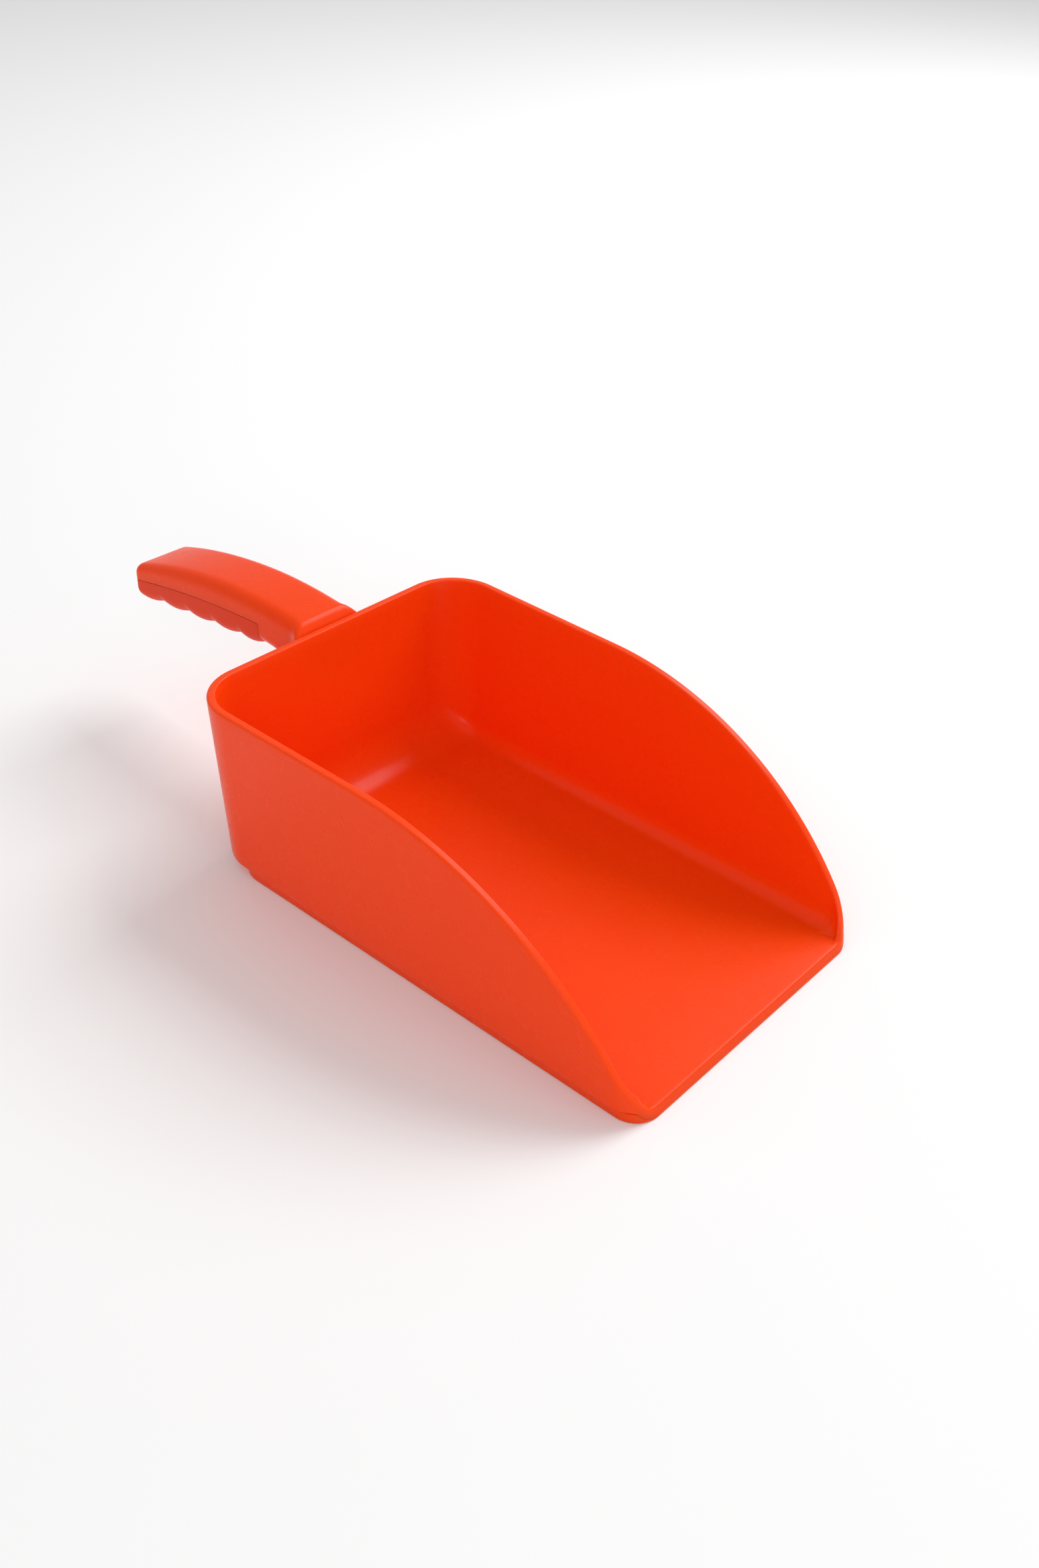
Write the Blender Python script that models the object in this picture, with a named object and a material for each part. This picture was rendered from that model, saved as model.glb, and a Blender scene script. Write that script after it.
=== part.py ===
"""Large hand scoop for dry goods: an open-fronted bucket with a hollow grip handle behind it.

The scoop stands on its flat base with +Z up. Its lip points along -Y and its handle along +Y,
and the plane X = 0 is its plane of symmetry. All lengths are in metres.
"""

import math

import bmesh
import bpy
from mathutils import Vector

# Bucket, outside. "Setback" is a distance measured forwards from the back rim.
RIM_WIDTH = 0.1650
BUCKET_LENGTH = 0.2500
BUCKET_HEIGHT = 0.0868
SIDE_DRAFT = 0.0044  # how far each side wall leans in between rim and standing surface
BACK_DRAFT = 0.0072  # the same for the back wall
FRONT_TAPER = 0.0010  # how far each side wall closes in between back and lip
RIM_CORNER_RADIUS = 0.0255
BASE_CORNER_RADIUS = 0.0187
LIP_CORNER_RADIUS = 0.0145

# Walls and floor
WALL = 0.0038
FLOOR = 0.0038
SIDE_FILLET = 0.0080  # inside, between the floor and the side walls
BACK_FILLET = 0.0180  # inside, between the floor and the back wall
SIDE_EDGE_RADIUS = 0.0010  # outside, along the bottom of the side walls
BACK_EDGE_RADIUS = 0.0059  # the same under the back wall

# Rim and lip
LEVEL_RIM = 0.1040  # setback at which the rim starts to fall away in one arc, down to the lip
LIP_EDGE = 0.0005  # blunt thickness that the arc leaves at the lip

# Base: the floor slab, set in from the walls above it
BASE_HEIGHT = 0.0048
BASE_SIDE_INSET = 0.0012
BASE_BACK_INSET = 0.0117
BASE_PLAN_RADIUS = 0.0147
BASE_LIP_RADIUS = 0.0120  # corners of the slab under the lip

# Handle, outside. "Reach" is a distance measured backwards from the back rim.
HANDLE_LENGTH = 0.1236
HANDLE_WIDTH = 0.0330
HANDLE_DEPTH = 0.0234  # top to underside, at the first groove
HANDLE_RISE = 0.0058  # crown of the handle above the rim
CROWN_REACH = 0.0330
ARCH_RADIUS = 0.2670
UNDERSIDE_FALL = 0.099  # slope of the line through the grooves
TOP_EDGE_RADIUS = 0.0062
GRIP_EDGE_RADIUS = 0.0070
END_EDGE_RADIUS = 0.0038

# Finger grip
FIRST_GROOVE_REACH = 0.0452
FINGER_PITCH = 0.0195
GROOVE_COUNT = 4
FINGER_BULGE = 0.0022

# Root of the handle, where it spreads into the back wall
ROOT_REACH = 0.0290
ROOT_DROP = 0.0200
ROOT_FLARE = 0.0060
ROOT_FLARE_REACH = 0.0080
ROLL_OVER = 0.0040

# Grip shell and the seat that it fits
HANDLE_WALL = 0.0028
JOINT_SHARE = 0.50  # share of the handle's depth that lies above the joint line
JOINT_GAP = 0.0003
TONGUE_THICKNESS = 0.0012
TONGUE_HEIGHT = 0.0020
RIB_COUNT = 3
RIB_THICKNESS = 0.0018

# Fineness of the curves
CORNER_STEPS = 7
ARC_STEPS = 26
STATION_PITCH = 0.0033

OVERSHOOT = 0.0100  # how far a cutter runs past what it cuts
OVERLAP = 0.0010  # how far shapes that become one body run into each other
SMALLEST_RADIUS = 0.0008  # left on an inner corner where the wall takes up the outer radius

HALF_WIDTH = RIM_WIDTH / 2
BACK_Y = (BUCKET_LENGTH - HANDLE_LENGTH) / 2  # centres the whole scoop on Y = 0
LIP_Y = BACK_Y - BUCKET_LENGTH

PLASTIC = {"colour": (0.80, 0.032, 0.004, 1.0), "roughness": 0.38}
GRIP_PLASTIC = {"colour": (0.72, 0.028, 0.004, 1.0), "roughness": 0.42}


def clear_scene():
    """Removes every object that the file opened with."""
    for old in list(bpy.data.objects):
        bpy.data.objects.remove(old, do_unlink=True)


def plastic(name, colour, roughness):
    """A plain moulded plastic."""
    material = bpy.data.materials.new(name)
    material.use_nodes = True
    shader = material.node_tree.nodes["Principled BSDF"]
    shader.inputs["Base Color"].default_value = colour
    shader.inputs["Roughness"].default_value = roughness
    shader.inputs["Metallic"].default_value = 0.0
    return material


def new_object(name, mesh_maker):
    """Links a mesh object filled by mesh_maker(bm), with its faces turned outwards."""
    bm = bmesh.new()
    mesh_maker(bm)
    bmesh.ops.recalc_face_normals(bm, faces=bm.faces[:])
    mesh = bpy.data.meshes.new(name)
    bm.to_mesh(mesh)
    bm.free()
    made = bpy.data.objects.new(name, mesh)
    bpy.context.scene.collection.objects.link(made)
    return made


def helper(name, mesh_maker):
    """A cutter or a filler: part of the construction, and no piece of the scoop."""
    made = new_object(name, mesh_maker)
    made.hide_render = True
    made.display_type = "WIRE"
    return made


def combine(target, operation, tool):
    """Adds an exact Boolean to target."""
    step = target.modifiers.new(f"{operation.lower()}_{tool.name}", "BOOLEAN")
    step.operation = operation
    step.solver = "EXACT"
    step.object = tool


def loft(bm, rings):
    """Skins a stack of equal-length rings into one closed body, point to point."""
    loops = [[bm.verts.new(point) for point in ring] for ring in rings]
    bm.faces.new(loops[0])
    bm.faces.new(loops[-1])
    for below, above in zip(loops, loops[1:]):
        for i, corner in enumerate(below):
            bm.faces.new((below[i - 1], corner, above[i], above[i - 1]))


def prism(bm, outline, half_width):
    """Extrudes a side-view outline of (y, z) points to both sides of X = 0."""
    base = bm.faces.new([bm.verts.new((-half_width, y, z)) for y, z in outline])
    grown = bmesh.ops.extrude_face_region(bm, geom=[base])
    moved = [item for item in grown["geom"] if isinstance(item, bmesh.types.BMVert)]
    bmesh.ops.translate(bm, verts=moved, vec=(2 * half_width, 0, 0))


def arc(centre, radius, start, stop, steps):
    """Points along a circular arc in a plane, from one angle in degrees to another."""
    angles = [math.radians(start + (stop - start) * i / steps) for i in range(steps + 1)]
    return [(centre[0] + radius * math.cos(a), centre[1] + radius * math.sin(a)) for a in angles]


# ---------------------------------------------------------------- bucket


def lean(z):
    """Share of the full draft that a wall has reached at height z: 0 at the rim, 1 at the base."""
    return (BUCKET_HEIGHT - z) / BUCKET_HEIGHT


def ring_of(z, half_front, half_back, front, back, front_corner, back_corner):
    """A level ring in plan: straight sides, with its own radius at the front and back corners."""
    front_corner = max(front_corner, SMALLEST_RADIUS)
    back_corner = max(back_corner, SMALLEST_RADIUS)
    right = arc((half_front - front_corner, front + front_corner), front_corner, -90, 0, CORNER_STEPS)
    right += arc((half_back - back_corner, back - back_corner), back_corner, 0, 90, CORNER_STEPS)
    left = [(-x, y) for x, y in reversed(right)]
    return [Vector((x, y, z)) for x, y in right + left]


def plan_ring(z, side_inset=0.0, back_inset=0.0, front=0.0):
    """The bucket's outline in plan at height z, set in at its sides and back.

    front carries the front edge past the lip.
    """
    half_back = HALF_WIDTH - SIDE_DRAFT * lean(z) - side_inset
    back = BACK_Y - BACK_DRAFT * lean(z) - back_inset
    corner = RIM_CORNER_RADIUS + (BASE_CORNER_RADIUS - RIM_CORNER_RADIUS) * lean(z)
    corner -= min(side_inset, back_inset)
    lip_corner = LIP_CORNER_RADIUS - side_inset
    return ring_of(z, half_back - FRONT_TAPER, half_back, LIP_Y - front, back, lip_corner, corner)


def edge_inset(height, radius):
    """How far a rounded edge of this radius is set in at a height above its lowest point."""
    if height >= radius:
        return 0.0
    return radius - math.sqrt(max(radius**2 - (radius - height) ** 2, 0.0))


def rounded_levels(side_radius, back_radius):
    """Heights of the rings that follow two rounded edges, counted from the edges' lowest point."""
    side = [side_radius * share for share in (0.0, 0.08, 0.3, 0.6, 1.0)]
    back = [back_radius * share for share in (0.03, 0.12, 0.3, 0.6, 1.0)]
    return sorted(side + back)


def bucket_block(bm):
    """The outer form of the walls as a solid block, from their bottom edge upwards."""
    rings = []
    for rise in rounded_levels(SIDE_EDGE_RADIUS, BACK_EDGE_RADIUS):
        side = edge_inset(rise, SIDE_EDGE_RADIUS)
        back = edge_inset(rise, BACK_EDGE_RADIUS)
        rings.append(plan_ring(BASE_HEIGHT + rise, side_inset=side, back_inset=back))
    rings.append(plan_ring(BUCKET_HEIGHT + OVERSHOOT))
    loft(bm, rings)


def base_ring(z):
    """The base slab's outline at height z."""
    half = HALF_WIDTH - SIDE_DRAFT * lean(BASE_HEIGHT) - BASE_SIDE_INSET
    back = BACK_Y - BACK_DRAFT * lean(BASE_HEIGHT) - BASE_BACK_INSET
    return ring_of(z, half - FRONT_TAPER, half, LIP_Y, back, BASE_LIP_RADIUS, BASE_PLAN_RADIUS)


def base_block(bm):
    """The base slab, running up between the walls."""
    loft(bm, [base_ring(z) for z in (0.0, BASE_HEIGHT + OVERLAP)])


def hollow_block(bm):
    """The space inside the bucket, rounded where the floor meets the walls and open to the front."""
    rings = []
    for rise in rounded_levels(SIDE_FILLET, BACK_FILLET):
        side = WALL + edge_inset(rise, SIDE_FILLET)
        back = WALL + edge_inset(rise, BACK_FILLET)
        ring = plan_ring(FLOOR + rise, side_inset=side, back_inset=back, front=OVERSHOOT)
        rings.append(ring)
    top = BUCKET_HEIGHT + 2 * OVERSHOOT
    rings.append(plan_ring(top, side_inset=WALL, back_inset=WALL, front=OVERSHOOT))
    loft(bm, rings)


def rim_line():
    """The rim in side view: level behind, then falling in one arc to the lip's edge."""
    run = BUCKET_LENGTH - LEVEL_RIM
    fall = BUCKET_HEIGHT - LIP_EDGE
    radius = (run**2 + fall**2) / (2 * fall)
    end = 90 + math.degrees(math.asin(run / radius))
    falling = arc((BACK_Y - LEVEL_RIM, BUCKET_HEIGHT - radius), radius, 90, end, ARC_STEPS)
    return [(BACK_Y + OVERSHOOT, BUCKET_HEIGHT)] + falling


def profile_cut(bm):
    """Everything under the rim line, whose arc gives the lip its bevel too."""
    low = -OVERSHOOT
    outline = rim_line() + [(LIP_Y - OVERSHOOT, low), (BACK_Y + OVERSHOOT, low)]
    prism(bm, outline, HALF_WIDTH + OVERSHOOT)


# ---------------------------------------------------------------- handle


def top_height(reach):
    """Height of the handle's top surface: a long arch that rolls over at the rim."""
    crown = BUCKET_HEIGHT + HANDLE_RISE
    arch = crown - ARCH_RADIUS + math.sqrt(ARCH_RADIUS**2 - (reach - CROWN_REACH) ** 2)
    if reach >= ROLL_OVER:
        return arch
    share = 1 - max(reach, 0.0) / ROLL_OVER
    rolled = arch - (arch - BUCKET_HEIGHT + OVERLAP) * (1 - math.sqrt(1 - share**2))
    return rolled


def groove_line(reach):
    """Height of the straight line that the finger grooves lie on."""
    start = top_height(FIRST_GROOVE_REACH) - HANDLE_DEPTH
    return start - UNDERSIDE_FALL * (reach - FIRST_GROOVE_REACH)


def under_height(reach):
    """Height of the handle's underside: a bulge for each finger, and a sweep down to the back wall."""
    if reach < ROOT_REACH:
        share = min((ROOT_REACH - reach) / (ROOT_REACH + WALL), 1.0)
        return groove_line(ROOT_REACH) - ROOT_DROP * (1 - math.sqrt(1 - share**2))
    pitches = (reach - FIRST_GROOVE_REACH) / FINGER_PITCH
    if pitches < 0:
        across = (reach - ROOT_REACH) / (FIRST_GROOVE_REACH - ROOT_REACH)
    else:
        last = GROOVE_COUNT - 1
        start = min(math.floor(pitches), last)
        length = FINGER_PITCH
        if start == last:
            length = HANDLE_LENGTH - FIRST_GROOVE_REACH - last * FINGER_PITCH
        across = (reach - FIRST_GROOVE_REACH - start * FINGER_PITCH) / length
    return groove_line(reach) - FINGER_BULGE * 4 * across * (1 - across)


def half_width(reach):
    """Half of the handle's width, which flares out just before it meets the back wall."""
    flare = 0.0
    if reach < ROOT_FLARE_REACH:
        share = min((ROOT_FLARE_REACH - reach) / (ROOT_FLARE_REACH + WALL), 1.0)
        flare = ROOT_FLARE * (1 - math.sqrt(1 - share**2))
    return HANDLE_WIDTH / 2 + flare


def slimming(reach):
    """Share of its depth at the first groove that the handle keeps further back."""
    reach = max(reach, FIRST_GROOVE_REACH)
    return (top_height(reach) - groove_line(reach)) / HANDLE_DEPTH


def handle_ring(reach, inset=0.0):
    """The handle's cross-section at a reach: a rectangle with rounded corners, set in by inset."""
    past_edge = max(reach - (HANDLE_LENGTH - END_EDGE_RADIUS), 0.0)
    inset += edge_inset(END_EDGE_RADIUS - past_edge, END_EDGE_RADIUS)
    half = half_width(reach) - inset
    top = top_height(reach) - inset
    low = under_height(reach) + inset
    upper = max(TOP_EDGE_RADIUS * slimming(reach) - inset, SMALLEST_RADIUS)
    lower = max(GRIP_EDGE_RADIUS * slimming(reach) - inset, SMALLEST_RADIUS)
    right = arc((half - lower, low + lower), lower, -90, 0, CORNER_STEPS)
    right += arc((half - upper, top - upper), upper, 0, 90, CORNER_STEPS)
    ring = right + [(-x, z) for x, z in reversed(right)]
    follow = max(1 - reach / ROOT_REACH, 0.0)
    return [Vector((x, BACK_Y + reach - BACK_DRAFT * lean(z) * follow, z)) for x, z in ring]


def stations(start, stop):
    """Reaches of the handle's cross-sections: evenly spread, with one at each groove."""
    places = {start, stop, ROOT_REACH, ROLL_OVER / 3, ROLL_OVER, ROOT_FLARE_REACH}
    places |= {FIRST_GROOVE_REACH + i * FINGER_PITCH for i in range(GROOVE_COUNT)}
    places |= {HANDLE_LENGTH - END_EDGE_RADIUS * share for share in (0.15, 0.5, 1.0)}
    anchors = sorted(place for place in places if start <= place <= stop)
    reaches = [anchors[0]]
    for low, high in zip(anchors, anchors[1:]):
        count = max(1, round((high - low) / STATION_PITCH))
        reaches += [low + (high - low) * i / count for i in range(1, count + 1)]
    return reaches


def handle_block(bm):
    """The whole handle as a solid block, starting inside the back wall."""
    loft(bm, [handle_ring(reach) for reach in stations(-WALL / 2, HANDLE_LENGTH)])


def handle_hollow(inset, start, stop):
    """Makes the filler for the handle's inside, set in from its outer surface."""

    def fill(bm):
        loft(bm, [handle_ring(reach, inset) for reach in stations(start, stop)])

    return fill


def joint_height(reach):
    """Height of the joint line between the upper shell and the grip shell."""
    top = top_height(reach)
    return top - JOINT_SHARE * (top - groove_line(reach))


def joint_outline(offset, start, level):
    """Side-view outline between the joint line, moved up by offset, and a level above or below it."""
    count = round((HANDLE_LENGTH + OVERSHOOT - start) / STATION_PITCH)
    reaches = [start + (HANDLE_LENGTH + OVERSHOOT - start) * i / count for i in range(count + 1)]
    line = [(BACK_Y + reach, joint_height(reach) + offset) for reach in reaches]
    return line + [(line[-1][0], level), (line[0][0], level)]


def grip_seat_cut(bm):
    """The room that the grip shell takes from the handle, with its gap above and in front."""
    prism(bm, joint_outline(JOINT_GAP / 2, ROOT_REACH, -OVERSHOOT), HANDLE_WIDTH)


def grip_region(bm):
    """Everything that lies on the grip shell's side of the joint."""
    start = ROOT_REACH + JOINT_GAP
    prism(bm, joint_outline(-JOINT_GAP / 2, start, -OVERSHOOT), HANDLE_WIDTH)


def strip_maker(below, above):
    """Makes the strip around the joint line that reaches these distances below and above it."""

    def fill(bm):
        start = ROOT_REACH + JOINT_GAP
        upper = joint_outline(above, start, 0)[:-2]
        lower = joint_outline(-below, start, 0)[:-2]
        prism(bm, upper + list(reversed(lower)), HANDLE_WIDTH)

    return fill


def rib_maker(reach):
    """Makes a cross rib inside the upper shell at this reach."""

    def fill(bm):
        y = BACK_Y + reach
        deep = joint_height(reach) + JOINT_GAP
        outline = [
            (y - RIB_THICKNESS / 2, deep),
            (y + RIB_THICKNESS / 2, deep),
            (y + RIB_THICKNESS / 2, top_height(reach) - HANDLE_WALL / 2),
            (y - RIB_THICKNESS / 2, top_height(reach) - HANDLE_WALL / 2),
        ]
        prism(bm, outline, HANDLE_WIDTH / 2 - HANDLE_WALL - TONGUE_THICKNESS - 2 * JOINT_GAP)

    return fill


def make_scoop_body(material):
    """Bucket, root of the handle and the handle's upper shell: one moulding."""
    body = new_object("scoop_body", bucket_block)
    combine(body, "UNION", helper("base_block", base_block))
    combine(body, "INTERSECT", helper("profile_cut", profile_cut))
    handle = helper("handle_block", handle_block)
    inner_end = HANDLE_LENGTH - HANDLE_WALL
    hollow = handle_hollow(HANDLE_WALL, WALL / 2, inner_end)
    combine(handle, "DIFFERENCE", helper("handle_hollow", hollow))
    combine(handle, "DIFFERENCE", helper("grip_seat_cut", grip_seat_cut))
    spacing = (HANDLE_LENGTH - ROOT_REACH) / (RIB_COUNT + 1)
    for index in range(RIB_COUNT):
        rib = helper(f"rib_{index + 1}", rib_maker(ROOT_REACH + spacing * (index + 1)))
        combine(handle, "UNION", rib)
    combine(body, "UNION", handle)
    combine(body, "DIFFERENCE", helper("bucket_hollow", hollow_block))
    body.data.materials.append(material)
    return body


def make_grip_shell(material):
    """The finger-shaped underside of the handle, with the tongue that locates it."""
    grip = new_object("grip_shell", handle_block)
    combine(grip, "INTERSECT", helper("grip_region", grip_region))
    start = ROOT_REACH + JOINT_GAP + HANDLE_WALL
    shell_hollow = handle_hollow(HANDLE_WALL, start, HANDLE_LENGTH - HANDLE_WALL)
    combine(grip, "DIFFERENCE", helper("grip_hollow", shell_hollow))
    outside = HANDLE_WALL + JOINT_GAP
    tongue = helper("tongue_block", handle_hollow(outside, start, HANDLE_LENGTH - outside))
    combine(tongue, "INTERSECT", helper("tongue_strip", strip_maker(TONGUE_HEIGHT / 2, TONGUE_HEIGHT)))
    step = HANDLE_WALL / 2
    ledge = helper("ledge_block", handle_hollow(step, start - step, HANDLE_LENGTH - step))
    combine(ledge, "INTERSECT", helper("ledge_strip", strip_maker(TONGUE_HEIGHT, -JOINT_GAP / 2)))
    combine(tongue, "UNION", ledge)
    inside = outside + TONGUE_THICKNESS
    core = handle_hollow(inside, start + TONGUE_THICKNESS, HANDLE_LENGTH - inside)
    combine(tongue, "DIFFERENCE", helper("tongue_core", core))
    combine(grip, "UNION", tongue)
    grip.data.materials.append(material)
    return grip


def shade(piece):
    """Smooth shading with crisp edges kept."""
    piece.data.shade_smooth()
    piece.data.set_sharp_from_angle(angle=math.radians(35))


def main():
    """Builds both mouldings of the scoop."""
    clear_scene()
    pieces = [
        make_scoop_body(plastic("scoop_plastic", **PLASTIC)),
        make_grip_shell(plastic("grip_plastic", **GRIP_PLASTIC)),
    ]
    for piece in pieces:
        shade(piece)


main()
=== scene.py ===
"""Studio scene of a large hand scoop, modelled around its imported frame.

The scoop stands on its flat base with +Z up. Its lip points along -Y, its handle along +Y, and the
plane X = 0 is its plane of symmetry. All lengths are in metres. The bucket is one skin of rings in
plan, the handle one skin of cross-sections, and the joint along the handle's sides parts the two
moulded pieces.
"""

import logging
import math
from collections.abc import Callable
from dataclasses import dataclass, field
from enum import Enum

import bmesh
import bpy
from mathutils import Matrix, Vector


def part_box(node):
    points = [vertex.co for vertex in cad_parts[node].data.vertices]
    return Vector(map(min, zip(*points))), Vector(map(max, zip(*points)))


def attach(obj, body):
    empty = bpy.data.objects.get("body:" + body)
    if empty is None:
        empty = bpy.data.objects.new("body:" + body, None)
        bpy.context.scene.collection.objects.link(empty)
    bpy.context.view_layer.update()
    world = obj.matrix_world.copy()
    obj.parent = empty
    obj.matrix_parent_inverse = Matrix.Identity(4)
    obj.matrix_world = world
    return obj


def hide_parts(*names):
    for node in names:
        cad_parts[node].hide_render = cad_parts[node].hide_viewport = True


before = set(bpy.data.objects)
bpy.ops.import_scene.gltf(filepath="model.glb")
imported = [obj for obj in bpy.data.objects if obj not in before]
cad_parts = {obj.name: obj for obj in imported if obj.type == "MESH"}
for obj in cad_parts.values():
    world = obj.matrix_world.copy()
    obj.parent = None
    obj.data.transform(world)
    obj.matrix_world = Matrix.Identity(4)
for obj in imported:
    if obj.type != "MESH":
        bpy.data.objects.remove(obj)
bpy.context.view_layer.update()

LOG = logging.getLogger("scoop")
BODY = "root"
ROUGH_NOISE = (3.0, 0.6)  # octaves of a noise, and the weight of the finer ones
EDGE_ATTRIBUTE = "edge"  # point attribute: 1 on the rubbed edges of a piece, 0 away from them
SHARP_ANGLE = math.radians(38)
MERGE_DISTANCE = 0.000002


# ---------------------------------------------------------------- mesh tools


def lerp(start: float, end: float, share: float) -> float:
    """Value that lies this share of the way from start to end."""
    return start + (end - start) * share


def ease(share: float) -> float:
    """Share from 0 to 1 with soft ends."""
    share = min(max(share, 0.0), 1.0)
    return share * share * (3.0 - 2.0 * share)


def soft_min(first: float, second: float, blend: float) -> float:
    """Smaller of two lengths, rounded off where they come within blend of each other."""
    near = max(blend - abs(first - second), 0.0) / blend
    return min(first, second) - near * near * blend / 4.0


def quarter(radius: float, steps: int) -> list[tuple[float, float]]:
    """Points of a quarter circle as (run, rise), from (0, 0) round to (radius, radius).

    Args:
        radius: Radius of the circle.
        steps: Number of steps along the quarter.

    Returns:
        The points, leaving upwards and arriving level.
    """
    turns = [math.pi / 2 * i / steps for i in range(steps + 1)]
    return [(radius * (1 - math.cos(turn)), radius * math.sin(turn)) for turn in turns]


def skin(bm: bmesh.types.BMesh, rings: list[list[Vector]]) -> None:
    """Grows one closed body by extruding a ring of edges from place to place.

    Args:
        bm: Mesh to build in, empty at the start.
        rings: The places of each ring's corners, with the same count in every ring.
    """
    bmesh.ops.create_circle(bm, cap_ends=False, radius=1.0, segments=len(rings[0]))
    corners = ordered_loop(bm)
    first_edges = edges = bm.edges[:]
    for index, places in enumerate(rings):
        if index:
            grown = bmesh.ops.extrude_edge_only(bm, edges=edges)["geom"]
            fresh = {item for item in grown if isinstance(item, bmesh.types.BMVert)}
            edges = [
                item
                for item in grown
                if isinstance(item, bmesh.types.BMEdge) and set(item.verts) <= fresh
            ]
            corners = [
                next(e.other_vert(c) for e in c.link_edges if e.other_vert(c) in fresh)
                for c in corners
            ]
        for corner, place in zip(corners, places):
            corner.co = place
    bmesh.ops.edgeloop_fill(bm, edges=first_edges)
    bmesh.ops.edgeloop_fill(bm, edges=edges)
    bmesh.ops.remove_doubles(bm, verts=bm.verts[:], dist=MERGE_DISTANCE)
    bmesh.ops.recalc_face_normals(bm, faces=bm.faces[:])


def ordered_loop(bm: bmesh.types.BMesh) -> list[bmesh.types.BMVert]:
    """Puts the corners of a ring of edges in order.

    Args:
        bm: Mesh that is one closed ring of edges.

    Returns:
        Its corners, in their order round the ring.
    """
    bm.verts.ensure_lookup_table()
    start = bm.verts[0]
    walk, last = [start], start.link_edges[0]
    while (corner := last.other_vert(walk[-1])) is not start:
        walk.append(corner)
        last = next(edge for edge in corner.link_edges if edge is not last)
    return walk


def add_piece(name: str, bm: bmesh.types.BMesh) -> bpy.types.Object:
    """Turns a finished mesh into an object at the origin.

    Args:
        name: Name of the piece.
        bm: Its mesh, which is freed.

    Returns:
        The new object.
    """
    mesh = bpy.data.meshes.new(name)
    bm.to_mesh(mesh)
    bm.free()
    piece = bpy.data.objects.new(name, mesh)
    bpy.context.scene.collection.objects.link(piece)
    return piece


class Cut(Enum):
    """Ways in which one body is combined with another."""

    JOIN = "UNION"
    TAKE_AWAY = "DIFFERENCE"
    KEEP_SHARED = "INTERSECT"


def combine(piece: bpy.types.Object, cut: Cut, tool: bpy.types.Object) -> None:
    """Combines a piece with a tool body for good, and removes the tool.

    Args:
        piece: Piece that is changed.
        cut: How the two are combined.
        tool: Body that is used up.
    """
    step = piece.modifiers.new(cut.name.lower(), "BOOLEAN")
    step.operation = cut.value
    step.solver = "EXACT"
    step.object = tool
    bpy.context.view_layer.update()
    evaluated = piece.evaluated_get(bpy.context.evaluated_depsgraph_get())
    rough = piece.data
    mesh = bpy.data.meshes.new_from_object(evaluated)
    piece.modifiers.clear()
    piece.data = mesh
    bpy.data.meshes.remove(rough)
    mesh.name = piece.name
    bpy.data.objects.remove(tool, do_unlink=True)


def copy_of(piece: bpy.types.Object, name: str) -> bpy.types.Object:
    """Makes a second object with its own copy of a piece's mesh.

    Args:
        piece: Piece to copy.
        name: Name of the copy.

    Returns:
        The new object.
    """
    double = bpy.data.objects.new(name, piece.data.copy())
    bpy.context.scene.collection.objects.link(double)
    return double


# ---------------------------------------------------------------- finishes


@dataclass
class NodeGraph:
    """A node tree that is being wired up."""

    tree: bpy.types.NodeTree

    def node(self, kind: str, **settings: object) -> bpy.types.Node:
        """Adds a node.

        Args:
            kind: Blender's name for the node.
            **settings: Properties of the node.

        Returns:
            The new node.
        """
        made = self.tree.nodes.new(kind)
        for name, value in settings.items():
            setattr(made, name, value)
        return made

    def wire(self, source: bpy.types.NodeSocket, target: bpy.types.NodeSocket) -> None:
        """Links one socket to another."""
        self.tree.links.new(source, target)

    def noise(self, scale: float, detail: float, roughness: float) -> bpy.types.Node:
        """Noise texture on the piece's own coordinates.

        Args:
            scale: Repeats per metre.
            detail: Octaves of finer noise.
            roughness: Weight of the finer octaves.

        Returns:
            The noise node.
        """
        made = self.node("ShaderNodeTexNoise")
        made.inputs["Scale"].default_value = scale
        made.inputs["Detail"].default_value = detail
        made.inputs["Roughness"].default_value = roughness
        coordinates = self.node("ShaderNodeTexCoord")
        self.wire(coordinates.outputs["Object"], made.inputs["Vector"])
        return made

    def arithmetic(self, operation: str, *values: object) -> bpy.types.NodeSocket:
        """Adds a Math node.

        Args:
            operation: Blender's name for the operation.
            *values: Numbers, or sockets to link, in the node's order.

        Returns:
            The result's socket.
        """
        made = self.node("ShaderNodeMath", operation=operation)
        for socket, value in zip(made.inputs, values):
            if isinstance(value, bpy.types.NodeSocket):
                self.wire(value, socket)
            else:
                socket.default_value = value
        return made.outputs["Value"]

    def spread(self, value: bpy.types.NodeSocket, low: float, high: float) -> bpy.types.NodeSocket:
        """Stretches a value so that low becomes 0 and high becomes 1, softly and clamped.

        Args:
            value: Socket to stretch.
            low: Value that becomes 0.
            high: Value that becomes 1.

        Returns:
            The result's socket.
        """
        made = self.node("ShaderNodeMapRange", interpolation_type="SMOOTHSTEP")
        made.inputs["From Min"].default_value = low
        made.inputs["From Max"].default_value = high
        self.wire(value, made.inputs["Value"])
        return made.outputs["Result"]


def new_group(
    name: str, inputs: dict[str, str], outputs: dict[str, str]
) -> tuple[NodeGraph, bpy.types.Node, bpy.types.Node]:
    """Starts a shader node group.

    Args:
        name: Name of the group.
        inputs: Socket type by input name.
        outputs: Socket type by output name.

    Returns:
        The group's graph, its input node and its output node.
    """
    tree = bpy.data.node_groups.new(name, "ShaderNodeTree")
    for in_out, sockets in (("INPUT", inputs), ("OUTPUT", outputs)):
        for label, kind in sockets.items():
            tree.interface.new_socket(name=label, in_out=in_out, socket_type=kind)
    graph = NodeGraph(tree)
    return graph, graph.node("NodeGroupInput"), graph.node("NodeGroupOutput")


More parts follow.
